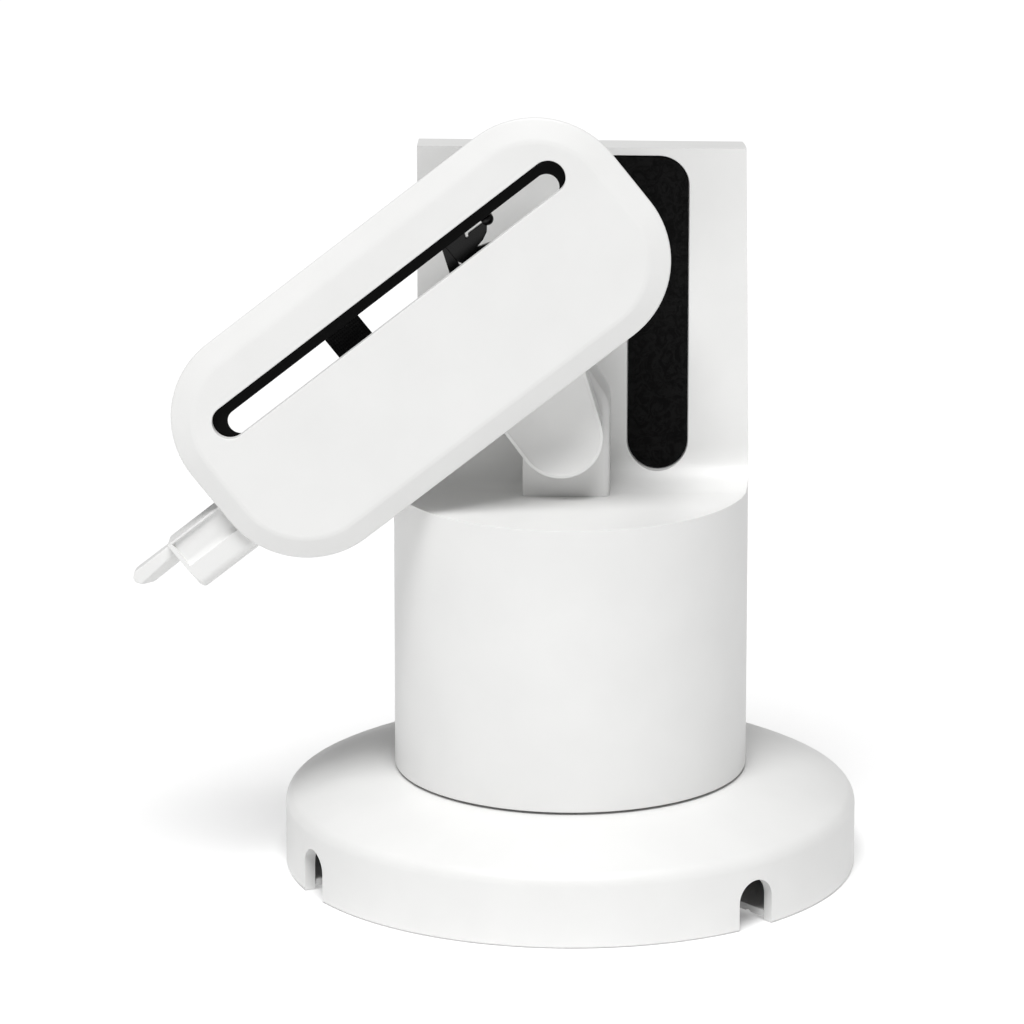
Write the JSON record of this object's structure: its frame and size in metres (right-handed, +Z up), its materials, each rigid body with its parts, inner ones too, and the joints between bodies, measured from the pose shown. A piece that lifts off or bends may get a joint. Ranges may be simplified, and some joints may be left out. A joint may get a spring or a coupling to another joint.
{
  "type": "payment terminal stand",
  "caption": "Counter stand for a card payment terminal: weighted disc base, swivelling drum with an upright plate, and a tilting slotted holder with a telescopic foot bracket.",
  "frame": {"origin": "where the swivel axis meets the counter, at the middle of the underside", "axes": "+Z up along the swivel axis; the plate and the holder face -Y at rest; +X to the right seen from the front"},
  "size_m": [0.2243, 0.18, 0.2488],
  "materials": {
    "white_plastic": "fine-textured moulded",
    "black_plastic": "satin moulded",
    "black_inlay": "matt creased",
    "black_webbing": "flat woven",
    "natural_plastic": "satin",
    "steel": "zinc-plated satin",
    "brass": "turned",
    "rubber": "matt"
  },
  "bodies": {
    "base": {"base_shell": "white_plastic", "base_cover": "white_plastic", "counterweight": "steel", "base_screw_1": "steel", "base_screw_2": "steel", "base_screw_3": "steel", "base_screw_4": "steel", "foot_1": "rubber", "foot_2": "rubber", "foot_3": "rubber", "foot_4": "rubber", "centre_foot": "rubber", "spindle": "steel", "thrust_washer": "natural_plastic", "wave_washer": "steel", "swivel_nut": "steel"},
    "pedestal": {"pedestal_shell": "white_plastic", "hub_plate": "black_plastic", "hub_screw_1": "steel", "hub_screw_2": "steel", "hub_screw_3": "steel", "swivel_bush": "brass", "plate_inlay": "black_inlay", "plate_cover": "white_plastic", "cover_screw_1": "steel", "cover_screw_2": "steel", "cover_screw_3": "steel", "cover_screw_4": "steel", "pivot_block": "white_plastic", "block_screw_1": "steel", "block_screw_2": "steel", "cable_gland": "rubber", "friction_washer_front": "natural_plastic", "friction_washer_rear": "natural_plastic"},
    "holder": {"holder_shell": "white_plastic", "holder_back": "white_plastic", "slot_liner": "black_plastic", "cross_strap": "black_webbing", "rail_guide": "natural_plastic", "holder_screw_1": "steel", "holder_screw_2": "steel", "holder_screw_3": "steel", "holder_screw_4": "steel", "pivot_ear": "white_plastic", "ear_screw_1": "steel", "ear_screw_2": "steel", "pivot_pin": "steel", "disc_spring": "steel", "pivot_nut": "steel", "latch_pin": "steel", "latch_spring": "steel"},
    "latch": {"slot_latch": "black_plastic"},
    "bracket": {"foot_bracket": "white_plastic", "bracket_rail": "steel", "rail_rivet_1": "steel", "rail_rivet_2": "steel"},
    "tongue": {"foot_tongue": "white_plastic"}
  },
  "joints": [
    {"name": "swivel", "type": "hinge", "parent": "base", "child": "pedestal", "pos_m": [0, 0, 0.032], "axis": [0, 0, 1], "range_deg": [-175, 175]},
    {"name": "tilt", "type": "hinge", "parent": "pedestal", "child": "holder", "pos_m": [-0.0025, -0.02, 0.1444], "axis": [0, 1, 0], "range_deg": [-2, 60]},
    {"name": "latch_turn", "type": "hinge", "parent": "holder", "child": "latch", "pos_m": [-0.04136, -0.0326, 0.21622], "axis": [0, 1, 0], "range_deg": [0, 14], "stiffness_Nm_per_rad": 0.02, "springref_deg": -8.59},
    {"name": "bracket_slide", "type": "slide", "parent": "holder", "child": "bracket", "axis": [-0.7826, 0, -0.6225], "range_m": [-0.012, 0.01]},
    {"name": "tongue_slide", "type": "slide", "parent": "bracket", "child": "tongue", "axis": [-0.7826, 0, -0.6225], "range_m": [-0.005, 0.004]}
  ]
}
